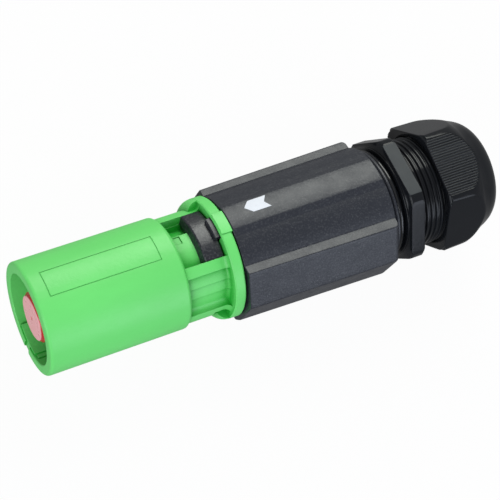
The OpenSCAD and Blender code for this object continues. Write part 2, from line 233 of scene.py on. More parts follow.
def one_turn(coarse: float, edges: Sequence[float], fine: float, reach: float) -> np.ndarray:
    """Spreads clock angles over one turn as crowded does, without the turn's end."""
    return crowded(0.0, 360.0, coarse, np.mod(edges, 360.0), fine, reach)[:-1]


def flowing(points: Profile, count: int) -> np.ndarray:
    """Carries a smooth curve through points.

    Between two points the curve is a cubic Hermite arc, whose tangents are half the chord between the
    neighbours of each point.

    Args:
        points: pairs of radius and station, in mm.
        count: samples on each arc.

    Returns:
        An array of radius and station for each sample.
    """
    knots = np.asarray(points, float)
    before = np.vstack([knots[:1], knots[:-1]])
    after = np.vstack([knots[1:], knots[-1:]])
    tangent = (after - before) / 2.0
    share = (np.arange(count) / count)[None, :, None]
    a, b = knots[:-1, None, :], knots[1:, None, :]
    ta, tb = tangent[:-1, None, :], tangent[1:, None, :]
    curve = ((2 * share ** 3 - 3 * share ** 2 + 1) * a + (share ** 3 - 2 * share ** 2 + share) * ta
             + (3 * share ** 2 - 2 * share ** 3) * b + (share ** 3 - share ** 2) * tb)
    return np.vstack([curve.reshape(-1, 2), knots[-1:]])


def held(corners: Profile, hold: float = 0.06) -> np.ndarray:
    """Doubles the corners of a turned profile, so that its flats stay flat under smooth shading.

    Each corner is replaced by two points, hold away from it on the lines to its neighbours.

    Args:
        corners: pairs of radius and station, in mm.
        hold: distance from the corner, in mm.

    Returns:
        An array of radius and station.
    """
    knots = np.asarray(corners, float)
    ways = np.stack([np.roll(knots, 1, axis=0), np.roll(knots, -1, axis=0)], axis=1) - knots[:, None, :]
    ways[0, 0] = 0.0
    ways[-1, 1] = 0.0
    tiny = 1e-9
    length = np.maximum(np.linalg.norm(ways, axis=2, keepdims=True), tiny)
    return (knots[:, None, :] + hold * (ways / length)).reshape(-1, 2)


def rows(profile: np.ndarray, count: int) -> np.ndarray:
    """Repeats the radii of a turned profile at count clock angles."""
    return np.broadcast_to(profile[:, :1], (len(profile), count))


def weave(row: np.ndarray, next_row: np.ndarray, place: np.ndarray | int,
          next_place: np.ndarray | int) -> np.ndarray:
    """Lists the four-sided faces between neighbouring rows of points.

    A point's number is the number of its row's start plus its place in the row.

    Args:
        row: start of the row of each face.
        next_row: start of the row after it.
        place: place of each face in its row.
        next_place: the place after it.

    Returns:
        Four point numbers for each face.
    """
    corners = (row + place, next_row + place, next_row + next_place, row + next_place)
    return np.stack(np.broadcast_arrays(*corners), axis=-1).reshape(-1, 4)


def put(name: str, data: ID) -> Object:
    """Adds an object to the scene.

    Args:
        name: the object's name.
        data: its mesh, camera or lamp.

    Returns:
        The new object.
    """
    made = bpy.data.objects.new(name, data)
    bpy.context.scene.collection.objects.link(made)
    return made


def stand(name: str, data: ID, spot: Triple, right: Sequence[float], up: Sequence[float]) -> Object:
    """Adds a camera or a lamp to the scene.

    Args:
        name: the object's name.
        data: the camera or the lamp.
        spot: its place in metres.
        right: unit vector to its right.
        up: unit vector up from it; it looks against the cross product of right and up.

    Returns:
        The new object.
    """
    place = np.eye(4)
    place[:3] = np.stack([right, up, np.cross(right, up), spot], axis=1)
    made = put(name, data)
    made.matrix_world = Matrix(place.tolist())
    return made


def solid(name: str, points: np.ndarray, *faces: np.ndarray, smooth: bool = True) -> Object:
    """Makes an object from arrays of points and faces.

    Args:
        name: the object's name.
        points: places in metres.
        faces: arrays with the point numbers of one face in each row.
        smooth: whether the shading runs over the edges.

    Returns:
        The new object.
    """
    mesh = bpy.data.meshes.new(name)
    mesh.from_pydata(points.tolist(), [], sum((part.tolist() for part in faces), []))
    if smooth:
        mesh.polygons.foreach_set("use_smooth", np.ones(len(mesh.polygons), bool))
    mesh.update()
    return put(name, mesh)


def skin(name: str, station: np.ndarray, radius: np.ndarray, angle: np.ndarray) -> Object:
    """Makes a closed surface of rings round the connector's axis.

    Point (i, j) lies at station i, at clock angle j, and the last ring joins the first, so the surface
    closes like a tube that is bent back into itself. Faces run ring to ring, so they point outwards where
    the stations grow.

    Args:
        name: the piece's name.
        station: stations of the rings, in mm.
        radius: radius of each point, in mm, rings first.
        angle: clock angles in degrees, growing, of one turn without its end.

    Returns:
        The new object.
    """
    rings, spokes = radius.shape
    points = AXIS.place(station[:, None], radius, angle[None, :]).reshape(-1, 3)
    ring = np.arange(rings)[:, None]
    spoke = np.arange(spokes)[None, :]
    faces = weave(ring * spokes, (ring + 1) % rings * spokes, spoke, (spoke + 1) % spokes)
    return solid(name, points, faces)


def mark(piece: Object, name: str, values: np.ndarray) -> None:
    """Stores a number at each point of a piece, which its finish reads.

    Args:
        piece: the piece.
        name: the attribute's name.
        values: one number for each point.
    """
    layer = piece.data.attributes.new(name, "FLOAT", "POINT")
    layer.data.foreach_set("value", np.ascontiguousarray(values, dtype=np.float32).ravel())


@dataclass
class GripHandle:
    """Black grip moulding: recesses, two arrow lands, and side lands of two facets and a narrow one.

    Attributes:
        front: station of the front face.
        end: station of the rear end.
        front_round: radius of the front edge's rounding.
        end_round: radius of the rear edge's rounding.
        recess_r: radius of the recesses at the front.
        draft: growth of the recesses over the length.
        land_h: height of the arrow lands.
        land_half: half angle of an arrow land's top.
        land_foot: half angle of an arrow land's foot.
        facets: clock angle and distance of each facet plane of a side land, repeated on the other side.
        land_top: upper edge of the side lands.
        land_low: lower edge of the side lands.
        land_draft: growth of the facets' distance over the length.
        land_turn: turn of the side lands' frame.
        land_shift: shift of the side lands' frame.
        land_end: station where the side lands end.
        land_round: radius of the rounding at that end.
        screw_x: station of the two handle screws.
        screw_at: clock angles of the two handle screws.
    """

    front: float = 90.1
    end: float = 164.6
    front_round: float = 0.35
    end_round: float = 0.8
    recess_r: float = 26.9
    draft: float = 0.8
    land_h: float = 1.1
    land_half: float = 12.3
    land_foot: float = 18.6
    facets: Profile = ((69.7, 29.1), (110.3, 28.95), (129.0, 29.9))
    land_top: float = 17.6
    land_low: float = 21.9
    land_draft: float = 1.45
    land_turn: float = 1.7
    land_shift: float = -0.2
    land_end: float = 163.8
    land_round: float = 2.0
    screw_x: float = 96.6
    screw_at: tuple[float, float] = (153.5, 206.8)

    def side_lands(self, station: np.ndarray, angle: np.ndarray) -> np.ndarray:
        """Gives the side lands' radius: the rounded minimum over their planes.

        Behind their end they are sunk to a radius below every other surface.

        Args:
            station: stations of the rings, in mm.
            angle: clock angles in degrees.

        Returns:
            The radius on the grid.
        """
        far, sunken, past = 80.0, 10.0, 0.005
        turned = np.radians(angle - self.land_turn)
        grown = self.land_draft * (station - self.front) / (self.end - self.front)
        grown = grown - edge_round(np.minimum(station, self.land_end), self.land_end, self.land_round)
        radius = np.full(np.broadcast(station, angle).shape, far)
        for clock, distance in self.facets:
            for aim in (math.radians(clock), -math.radians(clock)):
                reach = distance + grown + self.land_shift * math.sin(aim)
                radius = soft_min(radius, plane(reach, turned - aim), blend=0.28)
        for aim, distance in ((0.0, self.land_top), (math.pi, self.land_low)):
            radius = soft_min(radius, plane(distance, turned - aim), blend=0.42)
        return np.where(station > self.land_end + past, sunken, radius)

    def arrow_lands(self, station: np.ndarray, angle: np.ndarray) -> np.ndarray:
        """Gives how far the two arrow lands stand above the recesses.

        The lift falls in a straight flank from the top's edge to the foot, rounded at both, and fades out
        before the rear end.

        Args:
            station: stations of the rings, in mm.
            angle: clock angles in degrees.

        Returns:
            The lift on the grid, in mm.
        """
        off = np.abs(wrapped(angle, 180.0))
        flank = self.land_h * (self.land_foot - off) / (self.land_foot - self.land_half)
        lift = soft_max(soft_min(flank, self.land_h, blend=0.1), 0.0, blend=0.06)
        return lift * (1.0 - ramp(station, start=self.end - 1.2, end=self.end - 0.3))

    def sunk(self, station: np.ndarray, angle: np.ndarray, radius: np.ndarray) -> np.ndarray:
        """Sinks the seats of the two countersunk screws into the surface.

        Round a screw's axis the seat is flat, then a cone, and a steep wall beyond.

        Args:
            station: stations of the rings, in mm.
            angle: clock angles in degrees.
            radius: radius of the unsunk surface.

        Returns:
            The radius with the seats.
        """
        bottom, flat = 24.5, 2.1
        cone, rise, steep = 1.45, 1.9, 30.0
        window, far = 20.0, 99.0
        for clock in self.screw_at:
            away = np.hypot(station - self.screw_x, self.recess_r * np.radians(angle - clock)) - flat
            seat = bottom + rise * np.clip(away / cone, 0.0, 1.0) + steep * np.clip(away - cone, 0.0, 1.0)
            radius = np.minimum(radius, np.where(np.abs(angle - clock) < window, seat, far))
        return radius

    def outside(self, station: np.ndarray, angle: np.ndarray) -> np.ndarray:
        """Gives the radius of the whole outside: recesses, lands, rounded ends and screw seats.

        The lands join the recesses by the soft maximum of the two.

        Args:
            station: stations of the rings, in mm.
            angle: clock angles in degrees.

        Returns:
            The radius on the grid.
        """
        body = self.recess_r + self.draft * (station - self.front) / (self.end - self.front)
        body = body + self.arrow_lands(station, angle)
        radius = self.sunk(station, angle, soft_max(body, self.side_lands(station, angle), blend=0.16))
        radius = radius - edge_round(station, self.front, self.front_round)
        return radius - edge_round(station, self.end, self.end_round)

    def grid(self) -> tuple[np.ndarray, np.ndarray]:
        """Gives the outside's stations and clock angles, crowded at its edges and creases.

        Returns:
            Stations in mm and clock angles in degrees, both growing.
        """
        land_start = self.land_end - self.land_round
        middle = crowded(self.front + 0.5, land_start - 0.1, coarse=2.2, edges=[self.front], fine=0.4,
                         reach=2.0)
        station = np.unique(np.round(np.concatenate([
            self.front + self.front_round * (1.0 - np.cos(quarter(18))), middle,
            np.arange(self.screw_x - 4.0, self.screw_x + 4.1, 0.34),
            land_start + self.land_round * np.sin(quarter(10)),
            [self.land_end + 0.01, self.land_end + 0.05],
            self.end - self.end_round + self.end_round * np.sin(quarter(15))]), 4))
        creases = (49.1, 51.5, 54.2, 90.0, 118.0, 138.5, 141.0, 144.4)
        seats = (-7.5, -4.4, 4.4, 7.5)
        lands = (self.land_half, self.land_foot)
        edges = [self.land_turn + side * crease for side in (1, -1) for crease in creases]
        edges += [centre + side * land for centre in (0.0, 180.0) for side in (1, -1) for land in lands]
        edges += [screw + seat for screw in self.screw_at for seat in seats]
        return station, one_turn(coarse=1.4, edges=edges, fine=0.16, reach=1.4)

    def build(self) -> Object:
        """Builds the moulding with its boss, its bore and the seats inside.

        Returns:
            The new object.
        """
        drop = 0.06
        station, angle = self.grid()
        turned = held([
            (24.6, self.end), (24.6, self.end + 1.1), (25.3, self.end + 1.3), (25.6, self.end + 1.8),
            (25.6, 167.2), (25.3, 167.5), (19.95, 167.5), (19.95, 149.5), (22.6, 146.0),
            (22.6, 103.2), (22.25, 103.0), (22.25, self.front + 0.4), (22.65, self.front)])
        outer = self.outside(station[:, None], angle[None, :])
        radius = np.vstack([outer, outer[-1:] - drop, rows(turned, len(angle)), outer[:1] - drop])
        rings = np.concatenate([station, [self.end], turned[:, 1], [self.front]])
        return skin("grip_handle", rings, radius, angle)

    def print_arrow(self) -> Object:
        """Builds the white direction arrow, a film of ink that points to the mouth on the arrow land.

        With v from -1 to 1 across the arrow, it runs from station tip + front_sweep * |v| to station
        notch + rear_sweep * |v|. The film's top lies just above the land, and its underside just below.

        Returns:
            The new object.
        """
        tip, notch, middle, half = 99.3, 108.9, 4.0, 6.5
        front_sweep, rear_sweep = 3.1, 2.1
        top_lift, under_lift = 0.035, -0.05
        count = 25
        along = np.linspace(0.0, 1.0, count)[:, None]
        across = np.linspace(-1.0, 1.0, count)[None, :]
        front = tip + front_sweep * np.abs(across)
        rear = notch + rear_sweep * np.abs(across)
        station = front + (rear - front) * along
        angle = middle + half * across
        land = self.outside(station, angle)
        layers = [AXIS.place(station, land + lift, angle).reshape(-1, 3) for lift in (top_lift, under_lift)]
        under = count * count
        index = np.arange(under).reshape(count, count)
        start, place = index[:-1, :1], index[:1, :-1]
        top = weave(start, start + count, place, place + 1)
        rim = np.concatenate([index[0, :-1], index[:-1, -1], index[-1, :0:-1], index[:0:-1, 0]])
        wall = weave(rim, np.roll(rim, -1), 0, under)
        return solid("direction_arrow", np.vstack(layers), top, top[:, ::-1] + under, wall)


@dataclass
class CableGland:
    """Black cable gland: collar and thread in one moulding, its clamping fingers, and the dome nut.

    Attributes:
        flat: distance of the hexagons' flats from the axis.
        collar: stations of the collar's two faces.
        collar_corner: radius of the collar's turned-off corners.
        collar_turn: clock angle of a collar flat's middle.
        collar_round: radius of the rounding of the collar's edges.
        root: root radius of the nut thread.
        crest: height of the nut thread.
        pitch: pitch of the nut thread.
        thread_end: station where the nut thread ends.
        nut: stations of the nut's two ends.
        nut_turn: clock angle of a ribbed flat's middle.
        ribs: ribs on a ribbed flat.
        rib_pitch: distance of the ribs.
        rib_h: height of the ribs.
        dome: radius and station of the points of the nut's outline.
    """

    flat: float = 27.5
    collar: tuple[float, float] = (172.0, 178.9)
    collar_corner: float = 30.8
    collar_turn: float = -7.3
    collar_round: float = 0.3
    root: float = 24.0
    crest: float = 1.0
    pitch: float = 2.5
    thread_end: float = 193.8
    nut: tuple[float, float] = (191.0, 221.4)
    nut_turn: float = -17.8
    ribs: int = 24
    rib_pitch: float = 1.19
    rib_h: float = 0.34
    dome: Profile = (
        (31.2, 191.9), (31.0, 197.0), (30.75, 203.0), (30.0, 206.3), (28.8, 208.9), (27.6, 210.9),
        (26.5, 213.2), (25.5, 215.6), (24.3, 217.8), (22.6, 219.7), (20.6, 220.95), (18.9, 221.4))

    def thread(self, station: np.ndarray, angle: np.ndarray) -> np.ndarray:
        """Gives the nut thread's radius: a round ridge that climbs one pitch a turn.

        With t the distance along the axis in pitches less the turn, the ridge is root + crest * (a rounded
        wave of t), and it fades in just behind the collar.

        Args:
            station: stations of the rings, in mm.
            angle: clock angles in degrees.

        Returns:
            The radius on the grid.
        """
        start = self.collar[1]
        wave = np.cos(2.0 * np.pi * ((station - start) / self.pitch - angle / 360.0 - 0.5))
        ridge = ramp(wave, start=-0.75, end=0.55)
        return self.root + self.crest * ridge * ramp(station, start=start - 0.2, end=start + 0.5)

    def body(self) -> Object:
        """Builds collar and thread, with the seat of the rubber seal inside.

        Returns:
            The new object.
        """
        front, rear = self.collar
        size = self.collar_round
        chamfer_r, chamfer_slope = 29.9, 1.3
        corners = [self.collar_turn + 60.0 * k + side * 26.7 for k in range(6) for side in (1, -1)]
        angle = one_turn(coarse=0.9, edges=corners, fine=0.2, reach=1.6)
        station = np.concatenate([
            [front, front + 0.02], front + size * (1.0 - np.cos(quarter(15, start=15))),
            np.linspace(front + 0.5, rear - 0.5, 12), rear - size + size * np.sin(quarter(15))])
        hexed = hexagon(angle, self.flat, self.collar_turn, blend=0.1)
        hexed = soft_min(hexed, self.collar_corner, blend=0.3)
        rounding = edge_round(station, front, size) + edge_round(station, rear, size)
        chamfer = chamfer_r + chamfer_slope * np.minimum(station - front, rear - station)
        outer = np.minimum(hexed[None, :] - rounding[:, None], chamfer[:, None])
        thread_at = np.arange(rear, self.thread_end, self.pitch / 14)
        ridges = self.thread(thread_at[:, None], angle[None, :])
        ahead = held([
            (19.1, 153.0), (19.9, 153.8), (19.9, 171.1), (25.3, 171.1), (25.6, 171.4), (25.6, front)])
        behind = held([
            (23.5, 193.9), (23.5, 200.2), (20.5, 200.2), (20.5, 191.0), (16.6, 191.0), (16.6, 153.0)])
        radius = np.vstack([rows(ahead, len(angle)), outer, ridges, rows(behind, len(angle))])
        rings = np.concatenate([ahead[:, 1], station, thread_at, behind[:, 1]])
        piece = skin("gland_collar", rings, radius, angle)
        facing = np.abs(wrapped(angle - self.collar_turn, 360.0)) < 26.0
        inside = ((rings > front + 0.25) & (rings < rear - 0.3))[:, None] & (radius > 27.0)
        mark(piece, "bare_pad", inside & facing[None, :])
        return piece

    def fingers(self) -> Object:
        """Builds the twelve clamping fingers inside the nut: blocks of a ring with slots between them.

        Finger k spans the clock angles 30 k - 12.5 to 30 k + 12.5, between radii 20.5 and 23.5 mm.

        Returns:
            The new object.
        """
        count, steps, half = 12, 7, 12.5
        angle = 360.0 / count * np.arange(count)[:, None] + np.linspace(-half, half, steps)[None, :]
        corners = ((20.5, 200.2), (23.5, 200.2), (23.5, 206.4), (22.9, 207.0), (20.5, 207.0))
        size = len(corners)
        points = np.stack([AXIS.place(x, r, angle) for r, x in corners], axis=2).reshape(-1, 3)
        block = np.arange(count)[:, None] * steps * size
        step = block[:, :, None] + np.arange(steps - 1)[None, :, None] * size
        lane = np.arange(size)
        sides = weave(lane, (lane + 1) % size, step, step + size)
        return solid("clamping_fingers", points, sides, block + (-lane) % size,
                     block + (steps - 1) * size + lane, smooth=False)

    def rib_place(self, angle: np.ndarray) -> np.ndarray:
        """Gives the place across the nearest ribbed flat, flat * tan(angle - middle), in rib pitches."""
        off = np.clip(wrapped(angle - self.nut_turn, 120.0), -30.0, 30.0)
        return self.flat * np.tan(np.radians(off)) / self.rib_pitch

    def grooves(self, angle: np.ndarray) -> np.ndarray:
        """Gives how deep the grooves between the ribs are at each clock angle.

        A groove has sloping sides, and the flat is smooth beyond the outer ribs.

        Args:
            angle: clock angles in degrees.

        Returns:
            Depths in mm.
        """
        place = self.rib_place(angle)
        valley = 1.0 - ramp(np.abs(np.mod(place, 1.0) - 0.5), start=0.1, end=0.27)
        return self.rib_h * valley * (np.abs(place) < self.ribs / 2.0)

    def crests(self, angle: np.ndarray) -> np.ndarray:
        """Gives 1 along the middle of each rib, where a highlight is painted, and 0 off it.

        Args:
            angle: clock angles in degrees.

        Returns:
            The share at each angle.
        """
        place = self.rib_place(angle)
        away = np.abs(wrapped(place, 1.0))
        return (1.0 - ramp(away, start=0.06, end=0.24)) * (np.abs(place) < (self.ribs - 0.5) / 2.0)

    def nut_angles(self) -> np.ndarray:
        """Gives the nut's clock angles: fine steps on the ribbed flats and at the corners.

        One ribbed flat and the plain one after it are laid out in degrees from the ribbed flat's middle,
        ten steps to a rib, and repeated three times.

        Returns:
            Clock angles in degrees, growing.
        """
        half = math.degrees(math.atan(self.ribs * self.rib_pitch / 2.0 / self.flat)) + 0.4
        across = np.linspace(-1.0, 1.0, self.ribs * 10 + 1) * math.tan(math.radians(half))
        pair = np.concatenate([np.degrees(np.arctan(across)), np.linspace(half + 0.3, 30.0, 9),
                               np.linspace(30.3, 36.0, 12), np.linspace(38.0, 82.0, 24),
                               np.linspace(84.0, 89.7, 12), np.linspace(90.0, 92.4, 7)[:-1]])
        angle = self.nut_turn + 120.0 * np.arange(3)[:, None] + pair
        return np.unique(np.round(np.mod(angle, 360.0), 5))

    def dome_nut(self) -> Object:
        """Builds the nut: a hexagon with ribbed flats, cut by the turned outline of its dome.

        Returns:
            The new object.
        """
        front, rear = self.nut
        lip_r, lip_drop, lip_long, wall, near = 31.2, 1.1, 0.9, 0.5, 0.25
        angle = self.nut_angles()
        bend = quarter(15)
        lip = np.stack([lip_r - lip_drop * np.cos(bend), front + lip_long * np.sin(bend)], axis=-1)
        outline = np.vstack([lip[:-1], flowing(self.dome, 7)])
        hexed = hexagon(angle, self.flat, self.nut_turn, blend=0.15) - self.grooves(angle)
        outer = soft_min(hexed[None, :], outline[:, :1], blend=0.22)
        outer[0] = np.minimum(outer[0], outline[0, 0])
        inner = held([
            (18.7, rear), (16.8, rear), (16.0, rear - 0.6), (16.0, 216.8), (16.8, 214.6), (21.0, 208.6),
            (23.6, 207.2), (23.6, 201.6), (25.05, 201.0), (25.05, front + 0.5), (25.5, front)])
        radius = np.vstack([outer, rows(inner, len(angle)), outer[:1] - wall])
        rings = np.concatenate([outline[:, 1], inner[:, 1], [front]])
        piece = skin("dome_nut_shell", rings, radius, angle)
        # Painted highlight: the middle of each rib is marked, and the finish paints it lighter.
        crest = np.zeros_like(radius)
        crest[:len(outer)] = self.crests(angle)[None, :] * (outer < outline[:, :1] - near)
        mark(piece, "rib_crest_highlight", crest)
        return piece


@dataclass(frozen=True)
class ReturnSpring:
    """Coil spring that pushes the latch back, with its end turns closed.

    Attributes:
        seat: station of the end that stands in the insulator.
        foot: station of the end that bears on the latch at rest.
        travel: how far the latch shortens it, in mm.
        level: distance of the spring's own axis from the connector's.
        clock: clock angle of the spring's axis.
        coil: radius of the coil's centre line.
        wire: radius of the wire.
        turns: number of turns, the closed ones included.
        closed: share of a turn that is closed at each end.
        steps: rings of points in a turn.
        sides: points round the wire, an even number.
    """

    seat: float = 86.3
    foot: float = 102.3
    travel: float = 6.0
    level: float = 18.3
    clock: float = -2.0
    coil: float = 1.65
    wire: float = 0.3
    turns: int = 8
    closed: float = 0.8
    steps: int = 28
    sides: int = 12

    def build(self) -> Object:
        """Builds the spring as a tube round a helix, with flat ends.

        With a the turn of the helix and b the turn round the wire, a point lies at wire * sin(b) along the
        axis from the helix and at coil + wire * cos(b) from the spring's own axis.

        Returns:
            The new object.
        """
        turn = np.linspace(0.0, self.turns, self.turns * self.steps + 1)
        rise = self.closed * 2.0 * self.wire
        station = np.interp(turn, [0.0, self.closed, self.turns - self.closed, self.turns],
                            [self.seat + self.wire, self.seat + self.wire + rise,
                             self.foot - self.wire - rise, self.foot - self.wire])
        swing = 2.0 * np.pi * turn[:, None]
        around = 2.0 * np.pi * np.arange(self.sides)[None, :] / self.sides
        reach = self.coil + self.wire * np.cos(around)
        across = reach * np.sin(swing)
        up = self.level + reach * np.cos(swing)
        points = AXIS.place(station[:, None] + self.wire * np.sin(around), np.hypot(across, up),
                            self.clock + np.degrees(np.arctan2(across, up))).reshape(-1, 3)
        ring = np.arange(len(turn) - 1)[:, None] * self.sides
        side = np.arange(self.sides)[None, :]
        walls = weave(side, (side + 1) % self.sides, ring, ring + self.sides)
        row = np.arange(self.sides // 2 - 1)
        cap = np.stack([row, self.sides - 1 - row, self.sides - 2 - row, row + 1], axis=-1)
        return solid("return_spring", points, walls, cap, cap[:, ::-1] + (len(turn) - 1) * self.sides)

    def shorten(self, piece: Object) -> None:
        """Gives the spring a mesh of its own; nothing here shortens it as the latch slides back.

        Args:
            piece: the spring.
        """
        anchor = AXIS.place(self.seat, self.level, self.clock)
        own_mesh(piece)


class Socket(Enum):
    """Inputs of the Principled shader that a finish sets."""

    COLOUR = "Base Color"
    ROUGHNESS = "Roughness"
    METALLIC = "Metallic"
    NORMAL = "Normal"
    SPECULAR = "Specular IOR Level"


class Pattern(Enum):
    """Noise patterns: cells per metre, octaves, weight of the finer ones, factor along X and across it."""

    FLOW_MARKS = (38.0, 3.0, 0.55, 0.35, 1.0)
    MOULD_GLOSS = (160.0, 4.0, 0.6, 1.0, 1.0)
    SPECKS = (1300.0, 2.0, 0.6, 1.0, 1.0)
    WAVES = (55.0, 1.0, 0.4, 1.0, 1.0)
    PEEL = (620.0, 2.0, 0.5, 1.0, 1.0)
    FINE_GRAIN = (2200.0, 2.0, 0.5, 1.0, 1.0)
    INK_WEAR = (900.0, 3.0, 0.6, 1.0, 1.0)
    INK_GLOSS = (300.0, 2.0, 0.5, 1.0, 1.0)
    TARNISH = (90.0, 4.0, 0.6, 1.0, 1.0)
    TOOL_MARKS = (1800.0, 2.0, 0.5, 1.0, 0.02)
    BLOOM = (70.0, 4.0, 0.6, 1.0, 1.0)
    RUBBER_GLOSS = (240.0, 3.0, 0.5, 1.0, 1.0)
    RUBBER_GRAIN = (900.0, 2.0, 0.5, 1.0, 1.0)


class NodeBench:
    """Lays out the nodes of one tree."""

    def __init__(self, tree: NodeTree) -> None:
        """Takes the tree.

        Args:
            tree: a material's or the world's node tree.
        """
        self.tree = tree

    def feed(self, value: Value, target: NodeSocket) -> None:
        """Links a socket to an input, or sets a number or a colour on it.

        Args:
            value: the socket, the number, or the colour with its alpha.
            target: the input.
        """
        if isinstance(value, NodeSocket):
            self.tree.links.new(value, target)
        else:
            target.default_value = value

    def add(self, kind: str, *inputs: tuple[str | int, Value], **settings: str | int) -> Node:
        """Adds a shader node.

        Args:
            kind: its kind, such as Math.
            inputs: names or numbers of its inputs, each with what it gets.
            settings: its properties.

        Returns:
            The node.
        """
        node = self.tree.nodes.new("ShaderNode" + kind)
        for name, setting in settings.items():
            setattr(node, name, setting)
        for place, value in inputs:
            self.feed(value, node.inputs[place])
        return node

    def compute(self, operation: str, *terms: NodeSocket | float) -> NodeSocket:
        """Adds a math node.

        Args:
            operation: what it does.
            terms: its inputs in order.

        Returns:
            The result's socket.
        """
        return self.add("Math", *enumerate(terms), operation=operation).outputs[0]

    def between(self, source: NodeSocket, start: float, end: float, low: float = 0.0,
                high: float = 1.0) -> NodeSocket:
        """Maps a pattern to low before start and to high after end.

        Args:
            source: the pattern.
            start: where the result starts to change.
            end: where the change is done.
            low: the result before start.
            high: the result after end.

        Returns:
            The mapped socket.
        """
        node = self.add("MapRange", ("Value", source), ("From Min", start), ("From Max", end),
                        ("To Min", low), ("To Max", high))
        return node.outputs[0]


class FinishBench(NodeBench):
    """Lays out one material round a Principled shader."""

    def __init__(self, name: str) -> None:
        """Makes the material with nothing but the shader.

        Args:
            name: the material's name.
        """
        self.material = bpy.data.materials.new(name)
        self.material.use_nodes = True
        super().__init__(self.material.node_tree)
        self.tree.nodes.clear()
        self.output = self.add("OutputMaterial")
        self.shader = self.add("BsdfPrincipled")
        self.feed(self.shader.outputs[0], self.output.inputs[0])
        self.place = self.add("TexCoord").outputs["Object"]

    def give(self, socket: Socket, value: Value) -> None:
        """Gives one of the shader's inputs its socket, number or colour."""
        self.feed(value, self.shader.inputs[socket.value])

    def noise(self, pattern: Pattern) -> NodeSocket:
        """Adds a noise pattern on object coordinates.

        Args:
            pattern: the pattern.

        Returns:
            The socket of its value.
        """
        scale, detail, roughness, along, across = pattern.value
        place = self.add("Mapping", ("Vector", self.place), ("Scale", (along, across, across)))
        noise = self.add("TexNoise", ("Vector", place.outputs[0]), ("Scale", scale), ("Detail", detail),
                         ("Roughness", roughness))
        return noise.outputs[0]

    def span(self, source: NodeSocket, low: float = 0.0, high: float = 1.0) -> NodeSocket:
        """Maps a pattern's middle range, 0.3 to 0.7, to another range."""
        return self.between(source, 0.3, 0.7, low, high)

    def blend(self, factor: NodeSocket, under: NodeSocket | Triple, over: Triple) -> NodeSocket:
        """Mixes a colour over another one.

        Args:
            factor: the pattern that says where.
            under: the colour below, a socket or linear values.
            over: linear colour on top.

        Returns:
            The colour socket.
        """
        below = under if isinstance(under, NodeSocket) else (*under, 1.0)
        mix = self.add("Mix", ("A", below), ("B", (*over, 1.0)), ("Factor", factor), data_type="RGBA")
        return mix.outputs["Result"]

    def before(self, start: float, end: float) -> NodeSocket:
        """Gives 0 behind station start and 1 in front of station end, in mm."""
        parts = self.add("SeparateXYZ", (0, self.place))
        return self.between(parts.outputs["X"], *((x - AXIS.half_length) * MM for x in (start, end)))

    def attribute(self, name: str) -> NodeSocket:
        """Reads a number stored at the piece's points."""
        return self.add("Attribute", attribute_name=name).outputs["Fac"]

    def openness(self, reach: float) -> NodeSocket:
        """Tells how open a place of the piece is: 1 in the open, 0 deep in a crevice.

        Args:
            reach: how far walls count, in metres.

        Returns:
            The socket of the open share.
        """
        return self.add("AmbientOcclusion", ("Distance", reach), samples=8, only_local=True).outputs["AO"]

    def rounded(self, size: float) -> NodeSocket:
        """Gives a normal that is turned round the piece's sharp edges.

        Args:
            size: width of the rounding in metres.

        Returns:
            The normal socket.
        """
        return self.add("Bevel", ("Radius", size), samples=6).outputs[0]

    def emboss(self, heights: Sequence[tuple[NodeSocket, float]],
               normal: NodeSocket | None = None) -> None:
        """Chains bump nodes into the shader's normal.

        Args:
            heights: pairs of a pattern and its height in metres.
            normal: the normal that the bumps start from.
        """
        for pattern, height in heights:
            bump = self.add("Bump", ("Strength", 1.0), ("Distance", height), ("Height", pattern))
            if normal is not None:
                self.feed(normal, bump.inputs["Normal"])
            normal = bump.outputs[0]
        self.give(Socket.NORMAL, normal)


def linear(colour: Triple) -> Triple:
    """Turns a display colour of 0 to 255 to linear values.

    Args:
        colour: red, green and blue from 0 to 255.

    Returns:
        The linear colour.
    """
    values = np.asarray(colour, float) / 255.0
    out = np.where(values <= 0.04045, values / 12.92, ((values + 0.055) / 1.055) ** 2.4)
    return tuple(float(v) for v in out)


@dataclass(frozen=True)
class Finish(ABC):
    """A finish of the connector.

    Attributes:
        name: the material's name.
        colour: display colour, 0 to 255.
    """

    name: str
    colour: Triple

    @abstractmethod
    def material(self) -> Material:
        """Builds the material."""

    def shared(self) -> Material:
        """Gives the material, which is built the first time."""
        return bpy.data.materials.get(self.name) or self.material()


